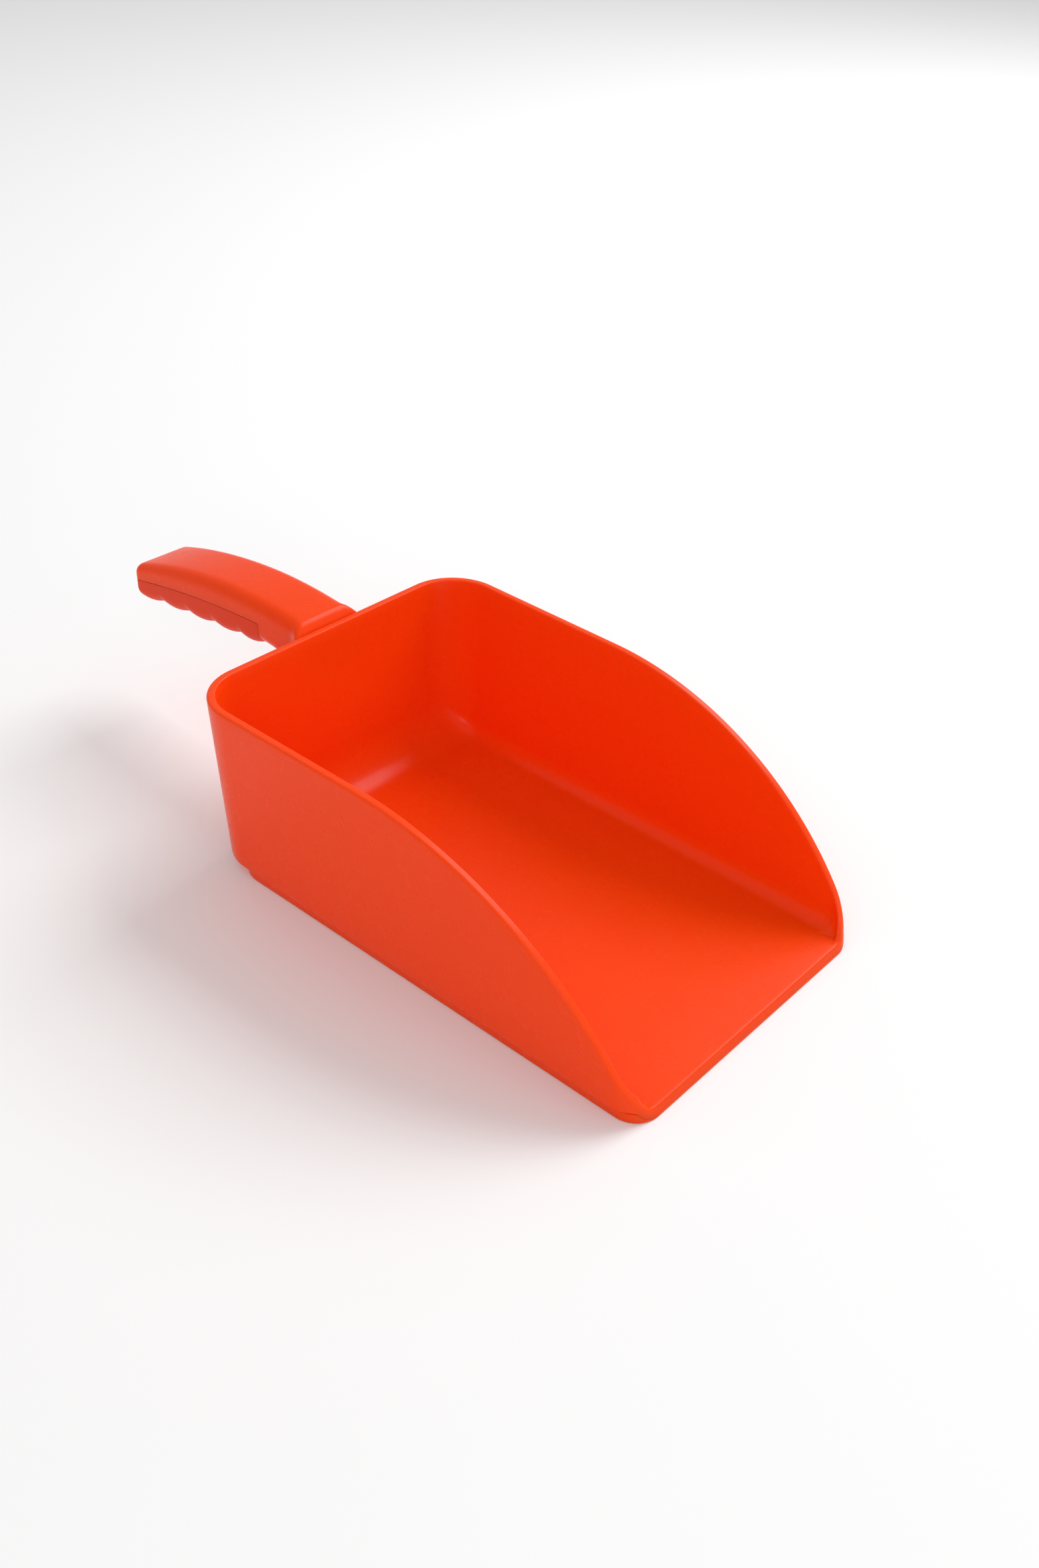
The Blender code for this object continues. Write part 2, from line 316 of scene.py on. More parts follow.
@dataclass(frozen=True)
class MouldEffects:
    """The effects that every moulded finish of the scoop shares, as node groups."""

    grain_scale: float = 2600.0
    fleck_scale: float = 650.0
    sink_scale: float = 34.0
    flow_scale: float = 9.0
    scuff_scale: float = 210.0
    scuff_stretch: float = 9.0
    scuff_detail: float = 2.0
    rub_scale: float = 840.0
    cloud_noise: tuple[float, float] = (2.0, 0.5)
    sink_noise: tuple[float, float] = (1.0, 0.4)
    cloud_range: tuple[float, float] = (0.25, 0.8)
    fleck_range: tuple[float, float] = (0.5, 0.9)
    fleck_share: float = 0.12
    scuff_range: tuple[float, float] = (0.6, 0.78)
    patch_range: tuple[float, float] = (0.48, 0.72)
    rub_range: tuple[float, float] = (0.2, 0.8)

    def grain(self) -> bpy.types.NodeTree:
        """Builds the group that puts the mould's fine texture and unevenness into a normal.

        Returns:
            The group.
        """
        graph, given, result = new_group(
            "mould_grain",
            {"Grain Depth": "NodeSocketFloat", "Sink Depth": "NodeSocketFloat"},
            {"Normal": "NodeSocketVector"},
        )
        fine = graph.noise(self.grain_scale, *ROUGH_NOISE)
        broad = graph.noise(self.sink_scale, *self.sink_noise)
        deep = graph.arithmetic("MULTIPLY", fine.outputs["Fac"], given.outputs["Grain Depth"])
        sunk = graph.arithmetic("MULTIPLY", broad.outputs["Fac"], given.outputs["Sink Depth"])
        bump = graph.node("ShaderNodeBump")
        bump.inputs["Strength"].default_value = 1.0
        bump.inputs["Distance"].default_value = 1.0
        graph.wire(graph.arithmetic("ADD", deep, sunk), bump.inputs["Height"])
        graph.wire(bump.outputs["Normal"], result.inputs["Normal"])
        return graph.tree

    def flow(self) -> bpy.types.NodeTree:
        """Builds the group that drifts between two shades, as pigment does in moulded plastic.

        Returns:
            The group.
        """
        graph, given, result = new_group(
            "pigment_flow",
            {"Shade": "NodeSocketColor", "Deep Shade": "NodeSocketColor"},
            {"Color": "NodeSocketColor"},
        )
        cloud = graph.noise(self.flow_scale, *self.cloud_noise)
        speck = graph.noise(self.fleck_scale, *self.cloud_noise)
        drift = graph.spread(cloud.outputs["Fac"], *self.cloud_range)
        fleck = graph.spread(speck.outputs["Fac"], *self.fleck_range)
        share = graph.arithmetic("MULTIPLY_ADD", fleck, self.fleck_share, drift)
        mix = graph.node("ShaderNodeMix", data_type="RGBA", clamp_factor=True)
        graph.wire(share, mix.inputs["Factor"])
        graph.wire(given.outputs["Shade"], mix.inputs["A"])
        graph.wire(given.outputs["Deep Shade"], mix.inputs["B"])
        graph.wire(mix.outputs["Result"], result.inputs["Color"])
        return graph.tree

    def wear(self) -> bpy.types.NodeTree:
        """Builds the group that gives a mask of fine lengthwise scuffs and rubbed edges.

        Returns:
            The group.
        """
        graph, given, result = new_group(
            "handling_wear",
            {"Edge": "NodeSocketFloat", "Scuffs": "NodeSocketFloat", "Rubbing": "NodeSocketFloat"},
            {"Mask": "NodeSocketFloat"},
        )
        coordinates = graph.node("ShaderNodeTexCoord")
        stretch = graph.node("ShaderNodeMapping")
        stretch.inputs["Scale"].default_value = (self.scuff_stretch, 1.0, self.scuff_stretch)
        graph.wire(coordinates.outputs["Object"], stretch.inputs["Vector"])
        lines = graph.node("ShaderNodeTexNoise")
        lines.inputs["Scale"].default_value = self.scuff_scale
        lines.inputs["Detail"].default_value = self.scuff_detail
        graph.wire(stretch.outputs["Vector"], lines.inputs["Vector"])
        patches = graph.noise(self.sink_scale, *ROUGH_NOISE)
        thin = graph.spread(lines.outputs["Fac"], *self.scuff_range)
        where = graph.spread(patches.outputs["Fac"], *self.patch_range)
        scuffs = graph.arithmetic(
            "MULTIPLY", graph.arithmetic("MULTIPLY", thin, where), given.outputs["Scuffs"]
        )
        worn = graph.noise(self.rub_scale, *ROUGH_NOISE)
        broken = graph.spread(worn.outputs["Fac"], *self.rub_range)
        rubbed = graph.arithmetic(
            "MULTIPLY",
            graph.arithmetic("MULTIPLY", broken, given.outputs["Edge"]),
            given.outputs["Rubbing"],
        )
        total = graph.arithmetic("ADD", scuffs, rubbed)
        graph.wire(graph.arithmetic("MINIMUM", total, 1.0), result.inputs["Mask"])
        return graph.tree


@dataclass(frozen=True)
class MouldedFinish:
    """Pigmented polypropylene as it comes from a finely textured mould."""

    name: str
    shade: tuple[float, float, float]
    deep_shade: tuple[float, float, float]
    rubbed_shade: tuple[float, float, float]
    roughness: float
    roughness_spread: float
    grain_depth: float
    sink_depth: float
    scuffs: float
    rubbing: float
    gloss: float
    glow: float
    glow_depth: float
    refraction: float = 1.49
    glow_reach: tuple[float, float, float] = (1.0, 0.25, 0.08)  # of red, green and blue light
    patch_scale: float = 60.0
    wear_roughness: float = 0.18

    def material(self, groups: dict[str, bpy.types.NodeTree]) -> bpy.types.Material:
        """Builds the material.

        Args:
            groups: The shared node groups by name.

        Returns:
            The new material.
        """
        material = bpy.data.materials.new(self.name)
        material.use_nodes = True
        graph = NodeGraph(material.node_tree)
        shader = material.node_tree.nodes["Principled BSDF"]
        shader.inputs["IOR"].default_value = self.refraction
        shader.inputs["Specular IOR Level"].default_value = self.gloss
        shader.inputs["Subsurface Weight"].default_value = self.glow
        shader.inputs["Subsurface Radius"].default_value = self.glow_reach
        shader.inputs["Subsurface Scale"].default_value = self.glow_depth
        edge = graph.node("ShaderNodeAttribute", attribute_name=EDGE_ATTRIBUTE)
        wear = graph.node("ShaderNodeGroup", node_tree=groups["handling_wear"])
        wear.inputs["Scuffs"].default_value = self.scuffs
        wear.inputs["Rubbing"].default_value = self.rubbing
        graph.wire(edge.outputs["Fac"], wear.inputs["Edge"])
        flow = graph.node("ShaderNodeGroup", node_tree=groups["pigment_flow"])
        flow.inputs["Shade"].default_value = (*self.shade, 1.0)
        flow.inputs["Deep Shade"].default_value = (*self.deep_shade, 1.0)
        mix = graph.node("ShaderNodeMix", data_type="RGBA")
        mix.inputs["B"].default_value = (*self.rubbed_shade, 1.0)
        graph.wire(wear.outputs["Mask"], mix.inputs["Factor"])
        graph.wire(flow.outputs["Color"], mix.inputs["A"])
        graph.wire(mix.outputs["Result"], shader.inputs["Base Color"])
        patches = graph.noise(self.patch_scale, *ROUGH_NOISE)
        drift = graph.arithmetic(
            "MULTIPLY_ADD", patches.outputs["Fac"], self.roughness_spread, self.roughness
        )
        rough = graph.arithmetic(
            "MULTIPLY_ADD", wear.outputs["Mask"], self.wear_roughness, drift
        )
        graph.wire(rough, shader.inputs["Roughness"])
        grain = graph.node("ShaderNodeGroup", node_tree=groups["mould_grain"])
        grain.inputs["Grain Depth"].default_value = self.grain_depth
        grain.inputs["Sink Depth"].default_value = self.sink_depth
        graph.wire(grain.outputs["Normal"], shader.inputs["Normal"])
        return material


BODY_FINISH = MouldedFinish(
    name="body_plastic",
    shade=(0.925, 0.060, 0.0022),
    deep_shade=(0.910, 0.056, 0.0018),
    rubbed_shade=(0.92, 0.100, 0.022),
    roughness=0.22,
    roughness_spread=0.10,
    grain_depth=0.000006,
    sink_depth=0.000022,
    scuffs=0.08,
    rubbing=0.22,
    gloss=0.15,
    glow=0.45,
    glow_depth=0.0045,
)
# Same plastic as the body, rougher and more coarsely grained; its darker shade and deep shade are
# painted shade for the handle's shaded underside and lower sides.
GRIP_FINISH_WITH_PAINTED_SHADE = MouldedFinish(
    name="grip_plastic",
    # Darker than the body's shades: painted shade, not a different pigment.
    shade=(0.800, 0.042, 0.0018),
    deep_shade=(0.770, 0.038, 0.0014),
    rubbed_shade=(0.88, 0.092, 0.024),
    roughness=0.36,
    roughness_spread=0.12,
    grain_depth=0.000010,
    sink_depth=0.000022,
    scuffs=0.12,
    rubbing=0.35,
    gloss=0.15,
    glow=0.25,
    glow_depth=0.0030,
)


# ---------------------------------------------------------------- bucket


class Zone(Enum):
    """Stretches of the bucket's outline in plan, from the middle of the lip to that of the back.

    The value is the number of steps along the stretch.
    """

    LIP = 8
    LIP_CORNER = 18
    SIDE = 92
    BACK_CORNER = 24
    BACK = 30


@dataclass(frozen=True)
class Station:
    """A place along one half of the bucket's outline: its zone, and its share of the way along."""

    zone: Zone
    share: float


@dataclass(frozen=True)
class Inset:
    """How far a ring is set in from the outer form at the sides, the back and the lip."""

    side: float = 0.0
    back: float = 0.0
    lip: float = 0.0
    tighter: float = 0.0  # taken off the radius of the back corners
    lip_tighter: float = 0.0  # taken off the radius of the lip's corners


@dataclass(frozen=True)
class Bucket:
    """The open-fronted bucket: floor slab, side walls, back wall, rim and lip."""

    rim_width: float = 0.1650
    length: float = 0.2500
    height: float = 0.0868
    back_y: float = 0.0632
    side_draft: float = 0.0044
    back_draft: float = 0.0072
    front_taper: float = 0.0010
    rim_corner: float = 0.0255
    base_corner: float = 0.0187
    lip_corner: float = 0.0145
    wall: float = 0.0038
    floor: float = 0.0038
    side_fillet: float = 0.0080
    back_fillet: float = 0.0180
    side_edge: float = 0.0010
    back_edge: float = 0.0059
    level_rim: float = 0.1040
    lip_edge: float = 0.0005
    lip_round: float = 0.0008
    base_height: float = 0.0048
    base_side_inset: float = 0.0012
    base_back_inset: float = 0.0117
    base_tighter: float = 0.0032
    base_lip_tighter: float = 0.0025
    base_edge: float = 0.0002
    rim_outer_radius: float = 0.0013
    rim_inner_radius: float = 0.0007
    least_radius: float = 0.0008
    rim_face: tuple[float, ...] = (0.0013, 0.0016, 0.0018, 0.0020, 0.0022, 0.0026)
    outer_share: float = 0.25  # of the spare height, that the rim's outer radius may take
    inner_share: float = 0.35  # of the spare height, that the rim's inner radius may take
    fillet_share: float = 0.8  # of the spare height, that the side fillet may take
    settle_rounds: int = 6
    base_edge_steps: int = 3
    base_side_shares: tuple[float, ...] = (0.35, 0.7, 0.94, 1.0)
    wall_edge_steps: int = 7
    outer_wall_steps: int = 16
    rim_outer_steps: int = 5
    rim_inner_steps: int = 4
    inner_wall_steps: int = 14
    fillet_steps: int = 12

    @property
    def lip_y(self) -> float:
        """Place of the lip along Y."""
        return self.back_y - self.length

    def stations(self) -> list[Station]:
        """Stations of one half of the outline, from the middle of the lip to that of the back."""
        places = [Station(zone, i / zone.value) for zone in Zone for i in range(zone.value)]
        return places + [Station(Zone.BACK, 1.0)]

    def plan(self, station: Station, z: float, inset: Inset) -> tuple[float, float]:
        """Place of a station in plan.

        Args:
            station: Station on the half outline with X above 0.
            z: Height, which sets how far the walls have leaned in.
            inset: How far the ring is set in.

        Returns:
            X and Y.
        """
        lean = (self.height - z) / self.height
        half = self.rim_width / 2 - self.side_draft * lean - inset.side
        front_half = half - self.front_taper
        back = self.back_y - self.back_draft * lean - inset.back
        lip = self.lip_y + inset.lip
        turned = lerp(self.rim_corner, self.base_corner, lean)
        turned -= min(inset.side, inset.back) + inset.tighter
        back_radius = max(turned, self.least_radius)
        turned = self.lip_corner - min(inset.side, inset.lip) - inset.lip_tighter
        lip_radius = max(turned, self.least_radius)
        if station.zone is Zone.LIP:
            return station.share * (front_half - lip_radius), lip
        if station.zone is Zone.LIP_CORNER:
            turn = math.radians(90 * station.share)
            x = front_half - lip_radius + lip_radius * math.sin(turn)
            return x, lip + lip_radius - lip_radius * math.cos(turn)
        if station.zone is Zone.SIDE:
            y = lerp(lip + lip_radius, back - back_radius, station.share)
            return lerp(front_half, half, station.share), y
        if station.zone is Zone.BACK_CORNER:
            turn = math.radians(90 * station.share)
            x = half - back_radius + back_radius * math.cos(turn)
            return x, back - back_radius + back_radius * math.sin(turn)
        return (half - back_radius) * (1 - station.share), back

    def rim_radius(self) -> float:
        """Works out the arc in which the rim falls to the lip's edge.

        Returns:
            Its radius.
        """
        run = self.length - self.level_rim
        fall = self.height - self.lip_edge
        return (run**2 + fall**2) / (2 * fall)

    def rim_run(self, y: float) -> float:
        """How far a place along Y lies in front of the point where the rim starts to fall."""
        return max(self.back_y - self.level_rim - y, 0.0)

    def rim_height(self, y: float) -> float:
        """Height of the rim at a place along Y."""
        radius = self.rim_radius()
        return self.height - radius + math.sqrt(radius**2 - self.rim_run(y) ** 2)

    def rim_top(self, station: Station, y: float) -> float:
        """Height of the skin's upper side near a station: the rim, or the floor behind the lip.

        Args:
            station: Station of the outline.
            y: Place along Y.

        Returns:
            The height, rounded off where the floor breaks into the lip's bevel.
        """
        if station.zone is Zone.LIP:
            return soft_min(self.rim_height(y), self.floor, self.lip_round)
        if station.zone is Zone.LIP_CORNER:
            limit = lerp(self.floor, self.height, station.share**3)
            return soft_min(self.rim_height(y), limit, self.lip_round)
        return self.rim_height(y)

    def steepness(self, y: float) -> float:
        """How much longer a vertical step is than the same step square to the rim's slope."""
        return 1 / math.sqrt(1 - (self.rim_run(y) / self.rim_radius()) ** 2)

    def settle(self, station: Station, inset: Inset, rule: Callable[[float], float]) -> Vector:
        """Finds a point whose height follows from its own place in plan.

        Args:
            station: Station of the point.
            inset: How far its ring is set in.
            rule: Function from Y to the height.

        Returns:
            The point.
        """
        z = 0.0
        for _ in range(self.settle_rounds):
            x, y = self.plan(station, z, inset)
            z = rule(y)
        x, y = self.plan(station, z, inset)
        return Vector((x, y, z))

    def wall_top(self, station: Station, inset: Inset) -> float:
        """Height of the rim over a station."""
        return self.settle(station, inset, lambda y: self.rim_top(station, y)).z

    def outer_radius(self, station: Station) -> float:
        """Radius on the rim's outer edge, which shrinks as the wall runs out at the lip."""
        spare = self.wall_top(station, Inset()) - self.lip_edge
        return min(self.rim_outer_radius, self.base_edge / 2 + self.outer_share * spare)

    def inner_radius(self, station: Station) -> float:
        """Works out the radius on the rim's inner edge, which shrinks towards the lip.

        Args:
            station: Station of the outline.

        Returns:
            The radius.
        """
        even = Inset(self.wall, self.wall, self.wall)
        spare = max(self.wall_top(station, even) - self.floor, 0.0)
        return min(self.rim_inner_radius, self.inner_share * spare)

    def fillet_radii(self, station: Station) -> tuple[float, float, float]:
        """Radii of the fillet between floor and walls.

        Args:
            station: Station of the outline.

        Returns:
            The radius at the side, the radius at the back, and the one that sets the height.
        """
        even = Inset(self.wall, self.wall, self.wall)
        spare = max(self.wall_top(station, even) - self.floor, 0.0)
        side = min(self.side_fillet, self.fillet_share * spare)
        back = self.back_fillet
        if station.zone is Zone.BACK:
            return side, back, back
        if station.zone is Zone.BACK_CORNER:
            return side, back, lerp(side, back, ease(station.share))
        return side, back, side

    def edge_height(self, station: Station) -> float:
        """Works out the radius of the rounded edge under the walls.

        Args:
            station: Station of the outline.

        Returns:
            The radius.
        """
        if station.zone is Zone.BACK:
            return self.back_edge
        if station.zone is Zone.BACK_CORNER:
            return lerp(self.side_edge, self.back_edge, ease(station.share))
        return self.side_edge

    def below_rim(self, station: Station, y: float) -> float:
        """Height at which the outer wall hands over to the rim's rounded outer edge."""
        return self.rim_top(station, y) - self.outer_radius(station) * self.steepness(y)

    def base_inset(self, extra: float) -> Inset:
        """Gives the inset of the base slab.

        Args:
            extra: Further inset at the sides, the back and the lip.

        Returns:
            The inset.
        """
        return Inset(
            side=self.base_side_inset + extra,
            back=self.base_back_inset + extra,
            lip=extra,
            tighter=self.base_tighter,
            lip_tighter=self.base_lip_tighter,
        )

    def base_rings(self, station: Station) -> list[Vector]:
        """Sets the points of the base slab's side.

        Args:
            station: Station of the outline.

        Returns:
            The points, from the underside up to the ledge.
        """
        points = []
        for run, rise in quarter(self.base_edge, self.base_edge_steps):
            inset = self.base_inset(self.base_edge - rise)
            points.append(self.settle(station, inset, lambda y, z=run: z))
        for share in self.base_side_shares:
            points.append(
                self.settle(
                    station,
                    self.base_inset(0.0),
                    lambda y, s=share: lerp(
                        self.base_edge, min(self.base_height, self.below_rim(station, y)), s
                    ),
                )
            )
        return points

    def outer_rings(self, station: Station) -> list[Vector]:
        """Sets the points of the outer wall.

        Args:
            station: Station of the outline.

        Returns:
            The points, from the ledge up to the rim's edge.
        """
        points = []
        edge = self.edge_height(station)
        for run, rise in quarter(1.0, self.wall_edge_steps):
            inset = Inset(self.side_edge * (1 - rise), self.back_edge * (1 - rise))
            level = self.base_height + edge * run
            points.append(
                self.settle(
                    station, inset, lambda y, z=level: min(z, self.below_rim(station, y))
                )
            )
        foot = self.base_height + edge
        for step in range(1, self.outer_wall_steps + 1):
            points.append(
                self.settle(
                    station,
                    Inset(),
                    lambda y, s=step / self.outer_wall_steps: lerp(
                        min(foot, self.below_rim(station, y)), self.below_rim(station, y), s
                    ),
                )
            )
        return points

    def rim_rings(self, station: Station) -> list[Vector]:
        """Sets the points across the rim.

        Args:
            station: Station of the outline.

        Returns:
            The points of the outer edge, the flat face and the inner edge.
        """
        outer, inner = self.outer_radius(station), self.inner_radius(station)
        stops = [(run, outer - rise) for run, rise in quarter(outer, self.rim_outer_steps)[1:]]
        stops += [(max(depth, outer), 0.0) for depth in self.rim_face]
        turned = reversed(quarter(inner, self.rim_inner_steps))
        stops += [(self.wall - run, inner - rise) for run, rise in turned]
        return [
            self.settle(
                station,
                Inset(depth, depth, depth),
                lambda y, d=drop: self.rim_top(station, y) - d * self.steepness(y),
            )
            for depth, drop in stops
        ]

    def inner_rings(self, station: Station) -> list[Vector]:
        """Sets the points of the inner wall and of its fillet.

        Args:
            station: Station of the outline.

        Returns:
            The points, from the rim down to the floor.
        """
        points = []
        side, back, rise_radius = self.fillet_radii(station)
        inner = self.inner_radius(station)
        even = Inset(self.wall, self.wall, self.wall)
        foot = self.floor + rise_radius
        for step in range(1, self.inner_wall_steps + 1):
            points.append(
                self.settle(
                    station,
                    even,
                    lambda y, s=step / self.inner_wall_steps: lerp(
                        max(self.rim_top(station, y) - inner * self.steepness(y), self.floor),
                        min(foot, max(self.rim_top(station, y), self.floor)),
                        s,
                    ),
                )
            )
        for run, rise in quarter(1.0, self.fillet_steps)[1:]:
            inset = Inset(self.wall + side * run, self.wall + back * run, self.wall + side * run)
            level = self.floor + rise_radius * (1 - rise)
            points.append(self.settle(station, inset, lambda y, z=level: z))
        return points

    def build(self) -> bpy.types.Object:
        """Models the bucket as one closed body.

        Returns:
            The bucket.
        """
        columns = []
        for station in self.stations():
            column = self.base_rings(station) + self.outer_rings(station)
            column += self.rim_rings(station) + self.inner_rings(station)
            columns.append(column)
        mirrored = [
            [Vector((-point.x, point.y, point.z)) for point in column]
            for column in reversed(columns[1:-1])
        ]
        rings = [list(ring) for ring in zip(*(columns + mirrored))]
        bm = bmesh.new()
        skin(bm, rings)
        return add_piece("scoop_bucket", bm)


# ---------------------------------------------------------------- handle


@dataclass(frozen=True)
class Handle:
    """The arched handle with finger grips, spreading into the back wall at its root."""

    bucket: Bucket
    length: float = 0.1236
    width: float = 0.0330
    depth: float = 0.0234
    rise: float = 0.0058
    crown_reach: float = 0.0330
    arch_radius: float = 0.2670
    underside_fall: float = 0.099
    top_edge: float = 0.0062
    grip_edge: float = 0.0070
    end_edge: float = 0.0038
    first_groove: float = 0.0452
    finger_pitch: float = 0.0195
    groove_count: int = 4
    finger_bulge: float = 0.0022
    root_reach: float = 0.0290
    root_drop: float = 0.0200
    flare: float = 0.0060
    flare_reach: float = 0.0080
    flare_sink: float = 0.00015
    roll_over: float = 0.0040
    roll_sink: float = 0.0010
    joint_share: float = 0.50
    joint_gap: float = 0.0003
    station_pitch: float = 0.0011
    roll_shares: tuple[float, ...] = (0.0, 0.02, 0.06, 0.13, 0.25, 0.45, 0.7)
    end_steps: int = 9
    corner_steps: int = 10
    side_steps: int = 6
    cutter_reach: float = 0.0100
    cutter_steps: int = 80

    def top(self, reach: float) -> float:
        """Works out the height of the top surface.

        Args:
            reach: Distance behind the back rim.

        Returns:
            The height.
        """
        crown = self.bucket.height + self.rise
        fall = self.arch_radius - math.sqrt(
            self.arch_radius**2 - (reach - self.crown_reach) ** 2
        )
        share = 1 - min(max(reach, 0.0) / self.roll_over, 1.0)
        above = crown - fall - self.bucket.height + self.roll_sink
        return crown - fall - above * (1 - math.sqrt(1 - share**2))

    def grooves(self, reach: float) -> float:
        """Height of the straight line that the finger grooves lie on."""
        start = self.top(self.first_groove) - self.depth
        return start - self.underside_fall * (reach - self.first_groove)

    def underside(self, reach: float) -> float:
        """Works out the underside: a bulge for each finger, and a sweep down to the back wall.

        Args:
            reach: Distance behind the back rim.

        Returns:
            The height.
        """
        if reach < self.root_reach:
            run = self.root_reach + self.bucket.wall
            share = min((self.root_reach - reach) / run, 1.0)
            drop = self.root_drop * (1 - math.sqrt(1 - share**2))
            return self.grooves(self.root_reach) - drop
        pitches = (reach - self.first_groove) / self.finger_pitch
        if pitches < 0:
            across = (reach - self.root_reach) / (self.first_groove - self.root_reach)
        else:
            last = self.groove_count - 1
            finger = min(math.floor(pitches), last)
            start = self.first_groove + finger * self.finger_pitch
            stretch = self.length - start if finger == last else self.finger_pitch
            across = (reach - start) / stretch
        return self.grooves(reach) - self.finger_bulge * 4 * across * (1 - across)

    def half_width(self, reach: float) -> float:
        """Works out half of the width, which flares out in a fillet at the back wall.

        Args:
            reach: Distance behind the back rim.

        Returns:
            Half of the width.
        """
        share = (self.flare_reach - reach) / (self.flare_reach + self.flare_sink)
        share = min(max(share, 0.0), 1.0)
        return self.width / 2 + self.flare * (1 - math.sqrt(1 - share**2))

    def slimming(self, reach: float) -> float:
        """Share of its depth at the first groove that the handle keeps further back."""
        reach = max(reach, self.first_groove)
        return (self.top(reach) - self.grooves(reach)) / self.depth

    def section(self, reach: float) -> list[Vector]:
        """Sets the corners of one cross-section.

        Args:
            reach: Distance behind the back rim.

        Returns:
            The corners, round from the middle underneath.
        """
        past = max(reach - (self.length - self.end_edge), 0.0)
        inset = self.end_edge - math.sqrt(max(self.end_edge**2 - past**2, 0.0))
        half = self.half_width(reach) - inset
        top, low = self.top(reach) - inset, self.underside(reach) + inset
        upper = max(self.top_edge * self.slimming(reach) - inset, self.bucket.least_radius)
        lower = max(self.grip_edge * self.slimming(reach) - inset, self.bucket.least_radius)
        turns = [math.pi / 2 * i / self.corner_steps for i in range(self.corner_steps + 1)]
        flank = [(share * (half - lower), low) for share in (0.0, 0.5)]
        for turn in turns:
            x = half - lower + lower * math.sin(turn)
            flank.append((x, low + lower - lower * math.cos(turn)))
        start, stop = low + lower, top - upper
        steps = self.side_steps
        flank += [(half, lerp(start, stop, i / steps)) for i in range(1, steps)]
        for turn in turns:
            x = half - upper + upper * math.cos(turn)
            flank.append((x, top - upper + upper * math.sin(turn)))
        flank += [(share * (half - upper), top) for share in (0.5, 0.0)]
        outline = flank + [(-x, z) for x, z in reversed(flank[1:-1])]
        follow = max(1 - reach / self.root_reach, 0.0) * self.bucket.back_draft
        height = self.bucket.height
        y = self.bucket.back_y + reach
        return [Vector((x, y - follow * (height - z) / height, z)) for x, z in outline]

    def reaches(self) -> list[float]:
        """Picks the cross-sections, close together where the shape turns quickly.

        Returns:
            Their distances behind the back rim.
        """
        marks = {-self.bucket.wall / 2, self.root_reach, self.flare_reach, self.roll_over}
        marks |= {self.first_groove + i * self.finger_pitch for i in range(self.groove_count)}
        marks |= {self.roll_over * share for share in self.roll_shares}
        marks |= {
            self.length - self.end_edge * (1 - math.sin(math.pi / 2 * i / self.end_steps))
            for i in range(self.end_steps + 1)
        }
        anchors = sorted(marks)
        places = [anchors[0]]
        for low, high in zip(anchors, anchors[1:]):
            count = max(1, math.ceil((high - low) / self.station_pitch))
            places += [lerp(low, high, (i + 1) / count) for i in range(count)]
        return places

    def build(self) -> bpy.types.Object:
        """Models the whole handle as one closed body, starting inside the back wall.

        Returns:
            The handle.
        """
        bm = bmesh.new()
        skin(bm, [self.section(reach) for reach in self.reaches()])
        return add_piece("handle_whole", bm)

    def below_joint(self, name: str, offset: float, start: float) -> bpy.types.Object:
        """Body that fills everything under the joint line.

        Args:
            name: Name of the body.
            offset: How far above the joint line it reaches.
            start: Reach at which it starts.

        Returns:
            The body.
        """
        stop = self.length + self.cutter_reach
        bm = bmesh.new()
        bmesh.ops.create_grid(bm, x_segments=1, y_segments=self.cutter_steps, size=0.5)
        for corner in bm.verts:
            reach = lerp(start, stop, corner.co.y + 0.5)
            z = lerp(self.top(reach), self.grooves(reach), self.joint_share) + offset
            corner.co = Vector((corner.co.x * 4 * self.width, self.bucket.back_y + reach, z))
        grown = bmesh.ops.extrude_face_region(bm, geom=bm.faces[:])["geom"]
        for item in grown:
            if isinstance(item, bmesh.types.BMVert):
                item.co.z = -self.cutter_reach
        bmesh.ops.recalc_face_normals(bm, faces=bm.faces[:])
        return add_piece(name, bm)


# ---------------------------------------------------------------- scoop


